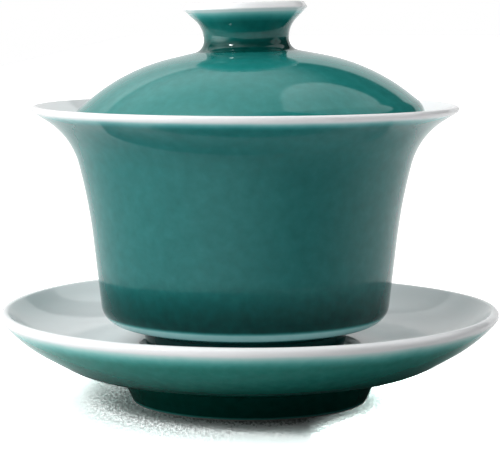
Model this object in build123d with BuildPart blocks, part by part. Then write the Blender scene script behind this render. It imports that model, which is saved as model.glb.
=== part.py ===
"""Gaiwan: a lidded tea bowl on its saucer, in three loose pieces of glazed porcelain.

Millimetres, +Z up. The origin is the centre of the saucer's foot ring, on the surface
that it stands on. Each piece was turned on a wheel, so each one is a closed outline of
(radius, height) corners revolved about the piece's own axis. Every corner in an outline
carries the radius that rounds it off, and 0 leaves it sharp.
"""

import os
from math import cos, radians, sin

from build123d import *

# Saucer, from the table up
saucer_foot_r = 28.5             # outside of the foot ring, on the table
saucer_foot_w = 3.0              # width of the ring that touches the table
saucer_foot_draft = 1.2          # the ring's inner wall leans in as it rises
saucer_foot_top = (31.3, 6.05)   # the ring's outer wall splays outward as it rises
saucer_foot_round = 0.6
saucer_belly = (43.9, 8.9)
saucer_shoulder = (56.2, 15.95)
saucer_rim = (60.9, 21.45)
saucer_lip = 2.3                 # thickness of the rim's bead
saucer_lip_round = 1.1
saucer_wall = 2.9
saucer_dish = (46.0, 14.4)       # where the upper face starts to rise towards the rim
well_r = 26.7                    # recess that keeps the bowl's foot in place
well_z = 12.0                    # its floor, where the bowl stands
well_edge_z = 13.2
well_draft = 0.5
saucer_floor = 4.4               # thickness of the floor under the well

# Bowl
bowl_foot_r = 23.7
bowl_foot_w = 2.6
bowl_foot_draft = 0.6
bowl_foot_top = (25.0, 17.1)
bowl_foot_round = 0.5
bowl_turn = (34.65, 19.9)        # where the base turns up into the wall
bowl_waist = (37.85, 48.6)
bowl_flare = (42.0, 64.55)
bowl_rim = (51.7, 70.65)
bowl_lip = 1.6
bowl_lip_round = 0.75
bowl_flare_wall = 1.8
bowl_wall = 3.0
bowl_base_z = 15.2               # underside of the base, inside the foot ring
bowl_floor_z = 19.7
bowl_shift = -1.05               # the foot stands off centre in the wider well

# Lid, at heights above the table when it sits level
knob_top_z = 96.35
knob_rim_r = 14.9
knob_rim_lean = 1.0              # the rim's outer edge narrows towards its top
knob_lip = 1.5
knob_lip_round = 0.7
knob_depth = 8.2                 # hollow in the top of the knob
knob_hollow_r = 6.2
neck = (10.05, 90.2)
neck_root = (10.45, 85.05)
lid_dome = (29.8, 80.95)
lid_shoulder = (44.85, 68.6)
lid_edge = (40.4, 63.85)
lid_lip = 2.4
lid_lip_round = 1.1
lid_edge_wall = 2.7
lid_wall = 3.0
lid_crown = (8.0, 82.3)          # underside of the lid, below the knob
lid_tilt = 1.6                   # degrees: the lid sits askew in the bowl's flare
lid_shift = -0.35                # the tilt carries it back off the bowl's axis
lid_seat_z = 72.0                # height of the point that the lid is tilted about


def inset(before, corner, after, wall):
    """Move an outline's corner to the left of the path by a wall's thickness."""
    way_in = (Vector(*corner) - Vector(*before)).normalized()
    way_out = (Vector(*after) - Vector(*corner)).normalized()
    left = Vector(-way_in.Y - way_out.Y, way_in.X + way_out.X)
    return Vector(*corner) + left * (wall / (1 + way_in.dot(way_out)))


def across(before, tip, lip):
    """Give the far corner of an edge that is cut square across the path at its tip."""
    way = (Vector(*tip) - Vector(*before)).normalized()
    return Vector(*tip) + Vector(-way.Y, way.X) * lip


def draw(corners):
    """Draw a closed outline in the current line builder, rounding off its corners."""
    points = [point for point, rounding in corners]
    roundings = [rounding for point, rounding in corners]
    FilletPolyline(*points, radius=roundings, close=True)


os.makedirs("parts", exist_ok=True)

# Saucer: out along the underside to the rim, then back in over the top to the well
saucer_foot_inner_r = saucer_foot_r - saucer_foot_w
saucer_floor_z = well_z - saucer_floor
saucer_corners = [
    ((0, saucer_floor_z), 0),
    ((saucer_foot_inner_r - saucer_foot_draft, saucer_floor_z), 2.5),
    ((saucer_foot_inner_r, 0), saucer_foot_round),
    ((saucer_foot_r, 0), saucer_foot_round),
    (saucer_foot_top, 0.5),
    (saucer_belly, 15),
    (saucer_shoulder, 33),
    (saucer_rim, saucer_lip_round),
    (across(saucer_shoulder, saucer_rim, saucer_lip), saucer_lip_round),
    (inset(saucer_belly, saucer_shoulder, saucer_rim, saucer_wall), 20),
    (saucer_dish, 30),
    ((well_r + well_draft, well_edge_z), 0.6),
    ((well_r, well_z), 0.4),
    ((0, well_z), 0),
]
with BuildPart() as saucer:
    with BuildSketch(Plane.XZ):
        with BuildLine():
            draw(saucer_corners)
        make_face()
    revolve(axis=Axis.Z)
saucer.part.label = "saucer"
export_step(saucer.part, "parts/saucer.step")

# Bowl: up the outside from the foot ring to the rim, then down the inside
bowl_plane = Plane(origin=(bowl_shift, 0, 0), x_dir=(1, 0, 0), z_dir=(0, -1, 0))
bowl_foot_inner_r = bowl_foot_r - bowl_foot_w
bowl_corners = [
    ((0, bowl_base_z), 0),
    ((bowl_foot_inner_r - bowl_foot_draft, bowl_base_z), 1.0),
    ((bowl_foot_inner_r, well_z), bowl_foot_round),
    ((bowl_foot_r, well_z), bowl_foot_round),
    (bowl_foot_top, 0.5),
    (bowl_turn, 5.2),
    (bowl_waist, 130),
    (bowl_flare, 17.8),
    (bowl_rim, bowl_lip_round),
    (across(bowl_flare, bowl_rim, bowl_lip), bowl_lip_round),
    (inset(bowl_waist, bowl_flare, bowl_rim, bowl_flare_wall), 20),
    (inset(bowl_turn, bowl_waist, bowl_flare, bowl_wall), 90),
    ((bowl_turn[0] - bowl_wall, bowl_floor_z), 9),
    ((0, bowl_floor_z), 0),
]
with BuildPart() as bowl:
    with BuildSketch(bowl_plane):
        with BuildLine():
            draw(bowl_corners)
        make_face()
    revolve(axis=Axis(bowl_plane.origin, bowl_plane.y_dir))
bowl.part.label = "bowl"
export_step(bowl.part, "parts/bowl.step")

# Lid: out of the knob's hollow, over the dome to the edge, then back in underneath.
# Its plane leans with it, and passes through the point that it is tilted about.
lean = radians(lid_tilt)
up = Vector(-sin(lean), 0, cos(lean))
lid_plane = Plane(
    origin=Vector(lid_shift, 0, lid_seat_z) - up * lid_seat_z,
    x_dir=(cos(lean), 0, sin(lean)),
    z_dir=(0, -1, 0),
)
knob_top_r = knob_rim_r - knob_rim_lean
knob_floor_z = knob_top_z - knob_depth
lid_corners = [
    ((0, knob_floor_z), 0),
    ((knob_hollow_r, knob_floor_z), 2.5),
    ((knob_top_r - knob_lip, knob_top_z), knob_lip_round),
    ((knob_top_r, knob_top_z), knob_lip_round),
    ((knob_rim_r, knob_top_z - knob_lip), 0.35),
    (neck, 6.2),
    (neck_root, 2.9),
    (lid_dome, 47.5),
    (lid_shoulder, 5.0),
    (lid_edge, lid_lip_round),
    (across(lid_shoulder, lid_edge, -lid_lip), lid_lip_round),
    (inset(lid_dome, lid_shoulder, lid_edge, -lid_edge_wall), 2.3),
    (inset(neck_root, lid_dome, lid_shoulder, -lid_wall), 44),
    (lid_crown, 50),
    ((0, lid_crown[1]), 0),
]
with BuildPart() as lid:
    with BuildSketch(lid_plane):
        with BuildLine():
            draw(lid_corners)
        make_face()
    revolve(axis=Axis(lid_plane.origin, lid_plane.y_dir))
lid.part.label = "lid"
export_step(lid.part, "parts/lid.step")
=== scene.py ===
"""Looks of the gaiwan: three turned and glazed porcelain pieces on a white studio floor.

Every piece is a fine lathe mesh on the same outline as its CAD solid, with what the kiln
adds: bare foot rings with a step where the glaze stops, glaze that thins to white over the
rims, and a slight warp. Outlines are in millimetres, as (radius, height) corners, each with
the radius that rounds it off. Meshes, lights and camera are in metres.
"""

from math import acos, atan2, ceil, cos, pi, radians, sin, tan

import bpy
import numpy as np
from mathutils import Matrix, Vector


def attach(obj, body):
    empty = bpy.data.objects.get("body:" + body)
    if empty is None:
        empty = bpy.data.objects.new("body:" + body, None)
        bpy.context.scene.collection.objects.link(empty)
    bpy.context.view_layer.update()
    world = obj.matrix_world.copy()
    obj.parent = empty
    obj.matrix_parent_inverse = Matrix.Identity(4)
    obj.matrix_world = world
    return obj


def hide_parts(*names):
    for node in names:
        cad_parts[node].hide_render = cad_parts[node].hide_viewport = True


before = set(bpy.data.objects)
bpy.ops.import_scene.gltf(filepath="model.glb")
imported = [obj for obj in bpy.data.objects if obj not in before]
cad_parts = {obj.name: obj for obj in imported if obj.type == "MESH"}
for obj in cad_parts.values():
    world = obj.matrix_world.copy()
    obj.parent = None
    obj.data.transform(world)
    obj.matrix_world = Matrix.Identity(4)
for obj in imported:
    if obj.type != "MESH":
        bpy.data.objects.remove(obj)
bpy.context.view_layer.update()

MM = 0.001
SEGMENTS = 256                   # facets around each turned piece
ARC_STEP = radians(8)            # largest turn between two points of a rounded corner
LINE_STEP = 0.8                  # mm, longest facet along an outline
GLAZE = 0.12                     # mm, thickness of the glaze where it stops above a foot
GLAZE_STOP = 0.3                 # mm, from the foot's edge to that line
GLAZE_EASE = 0.25                # mm, over which the step is rounded
BEND_REACH = 0.8                 # mm, to each side of a point where its curvature is read
ON_AXIS = 1e-6                   # mm, radius under which a ring is a single point
FAR = 99.0                       # mm, stands for no foot near

# Saucer
saucer_foot_r = 28.5
saucer_foot_w = 3.0
saucer_foot_draft = 1.2
saucer_foot_top = (31.3, 6.05)
saucer_foot_round = 0.6
saucer_belly = (43.9, 8.9)
saucer_shoulder = (56.2, 15.95)
saucer_rim = (60.9, 21.45)
saucer_lip = 2.3
saucer_lip_round = 1.1
saucer_wall = 2.9
saucer_dish = (46.0, 14.4)
well_r = 26.7
well_z = 12.0
well_edge_z = 13.2
well_draft = 0.5
saucer_floor = 4.4
saucer_warp = 0.7                # the rim's back left stands up, and its back right dips

# Bowl
bowl_foot_r = 23.7
bowl_foot_w = 2.6
bowl_foot_draft = 0.6
bowl_foot_top = (25.0, 17.1)
bowl_foot_round = 0.5
bowl_turn = (34.65, 19.9)
bowl_waist = (37.85, 48.6)
bowl_flare = (42.0, 64.55)
bowl_rim = (51.7, 70.65)
bowl_lip = 1.6
bowl_lip_round = 0.75
bowl_flare_wall = 1.8
bowl_wall = 3.0
bowl_base_z = 15.2
bowl_floor_z = 19.7
bowl_shift = -1.05

# Lid
knob_top_z = 96.35
knob_rim_r = 14.9
knob_rim_lean = 1.0
knob_lip = 1.5
knob_lip_round = 0.7
knob_depth = 8.2
knob_hollow_r = 6.2
neck = (10.05, 90.2)
neck_root = (10.45, 85.05)
lid_dome = (29.8, 80.95)
lid_shoulder = (44.85, 68.6)
lid_edge = (40.4, 63.85)
lid_lip = 2.4
lid_lip_round = 1.1
lid_edge_wall = 2.7
lid_wall = 3.0
lid_crown = (8.0, 82.3)
lid_tilt = 1.6
lid_shift = -0.35
lid_seat_z = 72.0


def inset(before, corner, after, wall):
    """Move an outline's corner to the left of the path by a wall's thickness."""
    before, corner, after = Vector(before), Vector(corner), Vector(after)
    way_in = (corner - before).normalized()
    way_out = (after - corner).normalized()
    left = Vector((-way_in.y - way_out.y, way_in.x + way_out.x))
    return corner + left * (wall / (1 + way_in.dot(way_out)))


def across(before, tip, lip):
    """Give the far corner of an edge that is cut square across the path at its tip."""
    way = (Vector(tip) - Vector(before)).normalized()
    return Vector(tip) + Vector((-way.y, way.x)) * lip


def rounded(before, corner, after, radius):
    """Give the points of the arc that rounds off a corner."""
    corner = Vector(corner)
    to_before = (Vector(before) - corner).normalized()
    to_after = (Vector(after) - corner).normalized()
    half = acos(max(-1, min(1, to_before.dot(to_after)))) / 2
    centre = corner + (to_before + to_after).normalized() * (radius / sin(half))
    start = corner + to_before * (radius / tan(half)) - centre
    end = corner + to_after * (radius / tan(half)) - centre
    turn = (atan2(end.y, end.x) - atan2(start.y, start.x) + pi) % (2 * pi) - pi
    count = max(ceil(abs(turn) / ARC_STEP), ceil(abs(turn) * radius / LINE_STEP), 3)
    arc = []
    for k in range(count + 1):
        arc.append(centre + Matrix.Rotation(turn * k / count, 2) @ start)
    return arc


def outline(corners):
    """Give an open outline's points, and the arc length at which each corner lies."""
    runs = [[Vector(corners[0][0])]]
    for (before, _), (corner, radius), (after, _) in zip(corners, corners[1:], corners[2:]):
        runs.append(rounded(before, corner, after, radius))
    runs.append([Vector(corners[-1][0])])
    points, marks, length = [], [], 0.0
    for run in runs:
        if points:
            start = points[-1]
            gap = (run[0] - start).length
            count = max(2, ceil(gap / LINE_STEP))
            for k in range(1, count):
                share = (1 - cos(pi * k / count)) / 2   # points crowd towards both ends
                points.append(start.lerp(run[0], share))
            length += gap
        points += run
        span = sum((b - a).length for a, b in zip(run, run[1:]))
        marks.append(length + span / 2)
        length += span
    return np.array(points), marks


def smooth(share):
    """Ease from 0 to 1 as the share goes from 0 to 1."""
    share = np.clip(share, 0, 1)
    return share * share * (3 - 2 * share)


def lathe(name, corners, axis, fades, foot=None, shape=None):
    """Turn an outline about its axis, and store what its glaze is painted by.

    axis is the matrix that places the piece. fades are (corner, width, side): the colour
    starts at that corner, is full at that width, and lies ahead (1) or behind (-1) of it.
    foot is the pair of corners of the bare ring that the piece stands on.
    """
    points, marks = outline(corners)
    steps = np.diff(points, axis=0)
    spans = np.hypot(steps[:, 0], steps[:, 1])
    lengths = np.concatenate([[0], np.cumsum(spans)])
    heading = np.unwrap(np.arctan2(steps[:, 1], steps[:, 0]))
    middles = (lengths[:-1] + lengths[1:]) / 2

    def heading_at(length):
        return np.interp(length, middles, heading)

    before, after = points[:-1], points[1:]
    area = np.sum(before[:, 0] * after[:, 1] - after[:, 0] * before[:, 1])
    turned = np.sign(area)           # -1 where the outline runs clockwise
    bend = heading_at(lengths + BEND_REACH) - heading_at(lengths - BEND_REACH)
    curve = turned * bend / (2 * BEND_REACH)
    cover = np.min([side * (lengths - marks[at]) / width for at, width, side in fades], axis=0)
    bare = np.full(len(points), FAR)
    if foot:
        first, last = marks[foot[0]], marks[foot[1]]
        beyond = np.maximum(first - lengths, lengths - last)
        bare = beyond - GLAZE_STOP
        sink = GLAZE * smooth(beyond / GLAZE_EASE) * smooth(-bare / GLAZE_EASE)
        left = heading_at(lengths) + pi / 2
        points = points + np.stack([np.cos(left), np.sin(left)], axis=1) * sink[:, None]

    angles = np.arange(SEGMENTS) * 2 * pi / SEGMENTS
    verts, starts, values = [], [], []
    for (r, z), tags in zip(points, zip(cover, bare, curve)):
        around = angles if r > ON_AXIS else angles[:1]
        starts.append((len(verts), len(around)))
        verts += [(r * cos(angle), r * sin(angle), z) for angle in around]
        values += [tags] * len(around)
    faces = []
    for (low, low_count), (high, high_count) in zip(starts, starts[1:]):
        for k in range(SEGMENTS):
            ring = [low + k % low_count, low + (k + 1) % low_count,
                    high + (k + 1) % high_count, high + k % high_count]
            faces.append(list(dict.fromkeys(ring))[::int(turned)])
    verts = np.array(verts)
    if shape:
        verts = shape(verts)
    mesh = bpy.data.meshes.new(name)
    mesh.from_pydata((verts * MM).tolist(), [], faces)
    mesh.transform(axis)
    for label, column in zip(("cover", "bare", "curve"), zip(*values)):
        mesh.attributes.new(label, "FLOAT", "POINT").data.foreach_set("value", column)
    mesh.polygons.foreach_set("use_smooth", [True] * len(mesh.polygons))
    mesh.update()
    piece = bpy.data.objects.new(name, mesh)
    bpy.context.scene.collection.objects.link(piece)
    return piece


def emptied(made):
    """Clear a material's or a world's nodes, and give a function that adds new ones."""
    made.use_nodes = True
    tree = made.node_tree
    tree.nodes.clear()

    def add(kind, inputs=None, **settings):
        node = tree.nodes.new("ShaderNode" + kind)
        for key, value in settings.items():
            setattr(node, key, value)
        for key, value in (inputs or {}).items():
            if isinstance(value, bpy.types.NodeSocket):
                tree.links.new(value, node.inputs[key])
            else:
                node.inputs[key].default_value = value
        return node

    return add


def math(add, operation, *values):
    """Add a maths node, and return its result."""
    return add("Math", dict(enumerate(values)), operation=operation).outputs[0]


def ease(add, value, low, high, at_low=0.0, at_high=1.0):
    """Go smoothly from one result to the other as a value goes from low to high."""
    node = add("MapRange", {"Value": value, "From Min": low, "From Max": high,
                            "To Min": at_low, "To Max": at_high}, interpolation_type="SMOOTHSTEP")
    return node.outputs["Result"]


def scale(add, value, at_zero, at_one):
    """Put a value that runs from 0 to 1 on a scale of its own."""
    return math(add, "MULTIPLY_ADD", value, at_one - at_zero, at_zero)


def blend(add, share, first, second, blend_type="MIX"):
    """Mix two colours."""
    node = add("Mix", {"Factor": share, 6: first, 7: second}, data_type="RGBA",
               blend_type=blend_type)
    return node.outputs[2]


def blend_values(add, share, first, second):
    """Mix two numbers."""
    node = add("Mix", {"Factor": share, 2: first, 3: second}, data_type="FLOAT")
    return node.outputs[0]


def distance(add, place, point):
    """Measure how far a place is from a point."""
    return add("VectorMath", {0: place, 1: point}, operation="DISTANCE").outputs["Value"]


def grey(add, value):
    """Turn a number into a grey."""
    return add("CombineColor", {"Red": value, "Green": value, "Blue": value}).outputs[0]


def ramp(add, value, stops):
    """Look a value up in a list of (place, colour) stops."""
    node = add("ValToRGB", {"Fac": value})
    elements = node.color_ramp.elements
    while len(elements) < len(stops):
        elements.new(0.5)
    for element, (place, colour) in zip(elements, stops):
        element.position = place
        element.color = (*colour, 1)
    return node.outputs["Color"]


CLAY = (0.90, 0.91, 0.92)        # white porcelain under clear glaze
UNEVEN = 0.30                    # how far the edge of the colour wanders
LOW_DARK_UNEVEN = 4.0                 # mm, the same for the height of the darkening towards the foot
EDGE_CURVE = (0.12, 0.6)         # per mm, bend of an edge where the glaze starts to draw back
EDGE_DEPTH = 0.3                 # depth on a sharp edge, against its usual depth
HOLLOW_CURVE = (0.05, 0.35)      # per mm, bend of a hollow where the glaze pools and shade is painted in
POOL_AND_SHADE_DEPTH = 1.75                # depth low down and in hollows: partly pooled glaze, partly painted shade
LIT_TURN_DEPTH = 0.25               # depth at the turn, thinned as a painted highlight
LIT_TURN_REACH = (0.6, 1.8)         # mm, from that height to full depth
MOTTLE = 0.15                    # share by which the depth varies from place to place
BARE_EDGE = 0.06                 # mm, half the width over which bare clay gives way to glaze
GLAZE_ROUGH = (0.045, 0.085)
BODY_ROUGH = 0.55
RUN_AND_SHADE_GLOSS = 0.2                # specular level low down, against 0.5: partly thick glaze, partly painted shade in the reflections
WAVE = 0.03                      # mm, height of the waves in the glaze
GRIT = 0.06                      # mm, height of the grit on bare clay
BODY_TONES = [                   # greys of the bare clay
    (0.25, (0.50, 0.50, 0.48)),
    (0.75, (0.68, 0.68, 0.66)),
]


def glaze(name, seed, tint, low, high, lit_turn):
    """Coloured glaze that thins to white over rims and edges, and a bare foot ring.

    tint is what one depth of it lets through of red, green and blue. It's darkest from the
    height low down to the foot, and has its usual depth above the height high: partly glaze
    that ran down while it melted, partly painted shade towards the bottom, which also lowers
    its gloss there. Around the last height, where the wall turns under, it's painted thin and
    light as a painted highlight, nowhere if that height is below the foot. All three heights
    are in millimetres.
    """
    made = bpy.data.materials.new(name)
    add = emptied(made)
    place = add("TexCoord").outputs["Object"]
    height = add("SeparateXYZ", {0: place}).outputs["Z"]
    moved = add("VectorMath", {0: place, 1: (seed, seed, seed)}, operation="ADD")
    place = moved.outputs["Vector"]

    def noise(fineness, detail=2.0):
        node = add("TexNoise", {"Vector": place, "Scale": fineness, "Detail": detail})
        return node.outputs["Fac"]

    cover = add("Attribute", attribute_name="cover").outputs["Fac"]
    bare = add("Attribute", attribute_name="bare").outputs["Fac"]
    curve = add("Attribute", attribute_name="curve").outputs["Fac"]

    uneven = scale(add, noise(55, 3), -UNEVEN / 2, UNEVEN / 2)
    depth = ease(add, math(add, "ADD", cover, uneven), 0.0, 1.0)
    edge = ease(add, curve, *EDGE_CURVE)
    # Darker in hollows: partly glaze that pools there, partly painted shade under the knob's rim.
    hollow = ease(add, math(add, "MULTIPLY", curve, -1.0), *HOLLOW_CURVE)
    # Thin and light around the turn's height: a painted highlight.
    from_turn = math(add, "ABSOLUTE", math(add, "SUBTRACT", height, lit_turn * MM))
    off_turn = ease(add, from_turn, LIT_TURN_REACH[0] * MM, LIT_TURN_REACH[1] * MM)
    # Darker from high down to low: partly glaze that ran down, partly painted shade towards the
    # bottom.
    level = math(add, "MULTIPLY_ADD", uneven, LOW_DARK_UNEVEN * MM, height)
    run = math(add, "MULTIPLY", ease(add, level, high * MM, low * MM), off_turn)
    pool_and_shade = math(add, "MAXIMUM", run, hollow)
    for factor in (
        scale(add, edge, 1.0, EDGE_DEPTH),
        scale(add, off_turn, LIT_TURN_DEPTH, 1.0),
        scale(add, pool_and_shade, 1.0, POOL_AND_SHADE_DEPTH),
        scale(add, noise(420, 4), 1 - MOTTLE, 1 + MOTTLE),
    ):
        depth = math(add, "MULTIPLY", depth, factor)
    passed = [math(add, "POWER", part, depth) for part in tint]
    passed = add("CombineColor", dict(zip(("Red", "Green", "Blue"), passed))).outputs[0]
    colour = blend(add, 1.0, (*CLAY, 1), passed, blend_type="MULTIPLY")

    grain = noise(2600, 3)
    body = ramp(add, grain, BODY_TONES)
    bare = math(add, "ADD", bare, uneven)
    fired = ease(add, bare, -BARE_EDGE, BARE_EDGE)
    unfired = math(add, "SUBTRACT", 1.0, fired)
    colour = blend(add, fired, body, colour)
    rough = scale(add, noise(160), *GLAZE_ROUGH)
    rough = math(add, "MULTIPLY_ADD", unfired, BODY_ROUGH, rough)
    wave = add("Bump", {"Height": noise(95), "Strength": 1.0, "Distance": WAVE * MM})
    grit = add("Bump", {"Height": grain, "Strength": unfired, "Distance": GRIT * MM,
                        "Normal": wave.outputs[0]})
    # Lower specular level where run is full: painted shade in the reflections low down.
    shader = add("BsdfPrincipled", {"Base Color": colour, "Roughness": rough, "IOR": 1.5,
                                    "Specular IOR Level": scale(add, run, 0.5, RUN_AND_SHADE_GLOSS),
                                    "Normal": grit.outputs[0]})
    add("OutputMaterial", {"Surface": shader.outputs[0]})
    return made


def place_axis(shift, tilt=0.0, about=0.0):
    """Put a piece's axis at an x, leaning by a tilt about a height, all in millimetres."""
    lean = Matrix.Rotation(-radians(tilt), 4, "Y")
    to_seat = Matrix.Translation((0, 0, -about * MM))
    return Matrix.Translation((shift * MM, 0, about * MM)) @ lean @ to_seat


def warped(verts):
    """Lift the saucer's rim at the back left and lower it at the back right."""
    angle = np.arctan2(verts[:, 1], verts[:, 0])
    radius = np.hypot(verts[:, 0], verts[:, 1])
    reach = smooth((radius - saucer_foot_top[0]) / (saucer_rim[0] - saucer_foot_top[0]))
    rise = -np.sin(2 * angle) * (1 + np.sin(angle)) / 2
    verts[:, 2] += saucer_warp * rise * reach
    return verts


saucer_foot_inner_r = saucer_foot_r - saucer_foot_w
saucer_floor_z = well_z - saucer_floor
saucer = lathe("saucer_body", [
    ((0, saucer_floor_z), 0),
    ((saucer_foot_inner_r - saucer_foot_draft, saucer_floor_z), 2.5),
    ((saucer_foot_inner_r, 0), saucer_foot_round),
    ((saucer_foot_r, 0), saucer_foot_round),
    (saucer_foot_top, 0.5),
    (saucer_belly, 15),
    (saucer_shoulder, 33),
    (saucer_rim, saucer_lip_round),
    (across(saucer_shoulder, saucer_rim, saucer_lip), saucer_lip_round),
    (inset(saucer_belly, saucer_shoulder, saucer_rim, saucer_wall), 20),
    (saucer_dish, 30),
    ((well_r + well_draft, well_edge_z), 0.6),
    ((well_r, well_z), 0.4),
    ((0, well_z), 0),
], place_axis(0), fades=[(3, 0.2, 1), (7, 6.5, -1)], foot=(2, 3), shape=warped)

bowl_foot_inner_r = bowl_foot_r - bowl_foot_w
bowl = lathe("bowl_body", [
    ((0, bowl_base_z), 0),
    ((bowl_foot_inner_r - bowl_foot_draft, bowl_base_z), 1.0),
    ((bowl_foot_inner_r, well_z), bowl_foot_round),
    ((bowl_foot_r, well_z), bowl_foot_round),
    (bowl_foot_top, 0.5),
    (bowl_turn, 5.2),
    (bowl_waist, 130),
    (bowl_flare, 17.8),
    (bowl_rim, bowl_lip_round),
    (across(bowl_flare, bowl_rim, bowl_lip), bowl_lip_round),
    (inset(bowl_waist, bowl_flare, bowl_rim, bowl_flare_wall), 20),
    (inset(bowl_turn, bowl_waist, bowl_flare, bowl_wall), 90),
    ((bowl_turn[0] - bowl_wall, bowl_floor_z), 9),
    ((0, bowl_floor_z), 0),
], place_axis(bowl_shift), fades=[(3, 0.2, 1), (8, 4.5, -1)], foot=(2, 3))

knob_top_r = knob_rim_r - knob_rim_lean
knob_floor_z = knob_top_z - knob_depth
lid = lathe("lid_body", [
    ((0, knob_floor_z), 0),
    ((knob_hollow_r, knob_floor_z), 2.5),
    ((knob_top_r - knob_lip, knob_top_z), knob_lip_round),
    ((knob_top_r, knob_top_z), knob_lip_round),
    ((knob_rim_r, knob_top_z - knob_lip), 0.35),
    (neck, 6.2),
    (neck_root, 2.9),
    (lid_dome, 47.5),
    (lid_shoulder, 5.0),
    (lid_edge, lid_lip_round),
    (across(lid_shoulder, lid_edge, -lid_lip), lid_lip_round),
    (inset(lid_dome, lid_shoulder, lid_edge, -lid_edge_wall), 2.3),
    (inset(neck_root, lid_dome, lid_shoulder, -lid_wall), 44),
    (lid_crown, 50),
    ((0, lid_crown[1]), 0),
], place_axis(lid_shift, lid_tilt, lid_seat_z), fades=[(4, 4.5, 1), (9, 5.0, -1)])

# low and high bound the darkening towards the foot, partly ran glaze, partly painted shade; the
# last height is where the painted highlight at the turn sits, and -10.0, below the foot, means
# none.
for body, piece, seed, tint, low, high, lit_turn in (
    ("saucer", saucer, 0.0, (0.024, 0.270, 0.228), 6.0, 13.5, -10.0),
    ("bowl", bowl, 0.37, (0.020, 0.215, 0.205), 21.0, 34.0, 20.0),
    ("lid", lid, 0.81, (0.022, 0.266, 0.245), 60.0, 62.0, -10.0),
):
    piece.data.materials.append(glaze(body + "_glaze", seed, tint, low, high, lit_turn))
    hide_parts(body)
    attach(piece, body)

# Floor: a wide sheet of grained paper. The camera sees it overexposed, with an exposure
# painted by place: darker at the foot as painted shade, and lighter to the right of the foot
# as painted light that bleaches the real shade, so that only deep shade shows. To the object
# it's pale paper with painted shade, in a patch to the front right and beside the foot. It
# ends on the left, where a light stands beside it, and it's clear from below, so that it
# doesn't hide the underside.
FLOOR_SIDE = 6.0
FLOOR_LEFT = 0.40                # the floor's left edge
EXPOSED_FOOT = 0.4               # how light the camera sees the floor: at the foot, as painted shade,
EXPOSED_AROUND = 2.35            # around it,
EXPOSED_FAR = 1.3                # and far from it
FOOT_CENTRE = (0.003, -0.003, 0.0)
FOOT_SPAN = (0.024, 0.040)       # distances from there between the first two,
FAR_SPAN = (0.060, 0.130)        # and between the last two
RIGHT_SPAN = (0.012, 0.030)      # places to the right where painted light makes it lighter still,
RIGHT_FADE = (0.034, 0.062)      # distances from the foot where that ends,
RIGHT_GAIN = 25.0                # and how many times lighter
GRAIN_SCALE = 1600
GRAIN_STRETCH = (1.0, 0.25, 1.0)
GRAIN_NOISE = (0.35, 0.65)       # part of the noise that's used, and the light it gives
GRAIN_LIGHT = (0.6, 1.4)
GRAIN_SPAN = (0.036, 0.052)      # distances from the foot where the grain ends
FLOOR_PALE = 0.90                # what the floor reflects onto the object,
FLOOR_SHADED = 0.35              # and in a patch of painted shade
SHADE_CENTRE = (0.09, -0.11, 0.0)
SHADE_REACH = 0.16
NEAR_SHADE = 0.35                # share of it that's left beside the foot, as painted shade
NEAR_SPAN = (0.030, 0.062)       # distances from the foot where it comes back
floor_corners = [(-FLOOR_LEFT, -FLOOR_SIDE, 0), (FLOOR_SIDE, -FLOOR_SIDE, 0),
                 (FLOOR_SIDE, FLOOR_SIDE, 0), (-FLOOR_LEFT, FLOOR_SIDE, 0)]
floor_mesh = bpy.data.meshes.new("floor")
floor_mesh.from_pydata(floor_corners, [], [(0, 1, 2, 3)])
floor = bpy.data.objects.new("floor", floor_mesh)
bpy.context.scene.collection.objects.link(floor)
paper = bpy.data.materials.new("floor_paper")
add = emptied(paper)
place = add("TexCoord").outputs["Object"]
from_foot = distance(add, place, FOOT_CENTRE)

# Painted exposure by place: painted shade at the foot, painted light to its right.
exposed = ease(add, from_foot, *FOOT_SPAN, EXPOSED_FOOT, EXPOSED_AROUND)
right = ease(add, add("SeparateXYZ", {0: place}).outputs["X"], *RIGHT_SPAN)
right = math(add, "MULTIPLY", right, ease(add, from_foot, *RIGHT_FADE, 1.0, 0.0))
exposed = math(add, "MULTIPLY", exposed, scale(add, right, 1.0, RIGHT_GAIN))
exposed = blend_values(add, ease(add, from_foot, *FAR_SPAN), exposed, EXPOSED_FAR)
fibres = add("VectorMath", {0: place, 1: GRAIN_STRETCH}, operation="MULTIPLY").outputs["Vector"]
grain = add("TexNoise", {"Vector": fibres, "Scale": GRAIN_SCALE, "Detail": 1}).outputs["Fac"]
grain = add("MapRange", {"Value": grain, "From Min": GRAIN_NOISE[0], "From Max": GRAIN_NOISE[1],
                         "To Min": GRAIN_LIGHT[0], "To Max": GRAIN_LIGHT[1]}).outputs["Result"]
grain = blend_values(add, ease(add, from_foot, *GRAIN_SPAN), grain, 1.0)
seen = grey(add, math(add, "MULTIPLY", exposed, grain))

# Painted shade in what the floor reflects onto the object.
from_shade = distance(add, place, SHADE_CENTRE)
bounce = ease(add, from_shade, 0.0, SHADE_REACH, FLOOR_SHADED, FLOOR_PALE)
bounce = math(add, "MULTIPLY", bounce, ease(add, from_foot, *NEAR_SPAN, NEAR_SHADE, 1.0))
bounce = grey(add, bounce)

camera_ray = add("LightPath").outputs["Is Camera Ray"]
sheet = add("BsdfDiffuse", {"Color": blend(add, camera_ray, bounce, seen)}).outputs[0]
clear = add("BsdfTransparent").outputs[0]
from_below = add("NewGeometry").outputs["Backfacing"]
sheet = add("MixShader", {0: from_below, 1: sheet, 2: clear})
add("OutputMaterial", {"Surface": sheet.outputs[0]})
floor_mesh.materials.append(paper)

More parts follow.
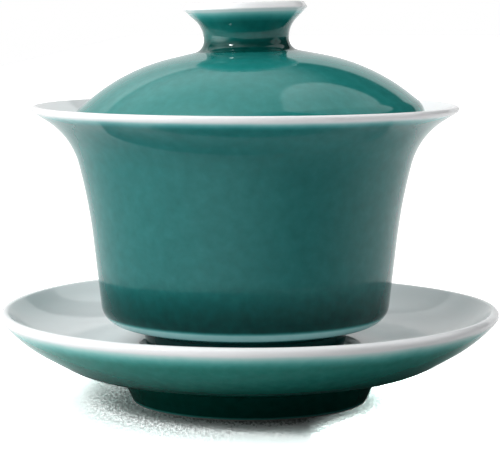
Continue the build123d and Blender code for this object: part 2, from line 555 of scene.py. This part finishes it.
# Studio: round soft boxes in the surround, which is plain white to the camera. Each has its
# azimuth from the camera's side (positive to its right), elevation, half width, width of
# its soft edge, all in degrees, and its strength.
SURROUND = 0.06
SOFT_BOXES = [
    (-64, 50, 42, 30, 1.17),         # key, above the left
    (-12, 62, 36, 28, 0.32),         # fill, above the camera
    (-40, 22, 26, 22, 0.65),         # low front, left of the camera
    (-85, 8, 34, 18, 0.8),           # low on the left
    (-75, -20, 40, 32, 2.8),         # beside the floor, on the left
    (-135, 64, 44, 30, 1.4),         # overhead, behind the left
    (117, 54, 25, 2, 1.1),           # window behind the right
    (88, 18, 20, 2, 0.95),           # low on the right
    (-165, -30, 66, 3, 0.8),         # backdrop
    (-49, 38, 5, 1, 40.0),           # spark
]
world = bpy.data.worlds.new("studio")
bpy.context.scene.world = world
add = emptied(world)
look = add("TexCoord").outputs["Generated"]
total = SURROUND
for azimuth, elevation, half_width, edge, strength in SOFT_BOXES:
    around, above = radians(azimuth), radians(elevation)
    towards = (sin(around) * cos(above), -cos(around) * cos(above), sin(above))
    facing = add("VectorMath", {0: look, 1: towards}, operation="DOT_PRODUCT").outputs["Value"]
    outside, inside = cos(radians(half_width)), cos(radians(half_width - edge))
    total = math(add, "ADD", total, ease(add, facing, outside, inside, 0.0, strength))
camera_ray = add("LightPath").outputs["Is Camera Ray"]
seen = blend_values(add, camera_ray, total, 1.0)
background = add("Background", {"Color": (1, 1, 1, 1), "Strength": seen})
add("OutputWorld", {"Surface": background.outputs[0]})

# Camera
CAMERA_PLACE = (0.00008, -0.47684, 0.09498)
CAMERA_PITCH = 6.28              # degrees below level
CAMERA_LENS = 142.13             # mm
camera_data = bpy.data.cameras.new("camera")
camera_data.lens = CAMERA_LENS
camera = bpy.data.objects.new("camera", camera_data)
camera.location = CAMERA_PLACE
camera.rotation_euler = (radians(90 - CAMERA_PITCH), 0, 0)
bpy.context.scene.collection.objects.link(camera)
bpy.context.scene.camera = camera
bpy.context.scene.view_settings.view_transform = "Standard"
bpy.context.scene.view_settings.gamma = 0.85
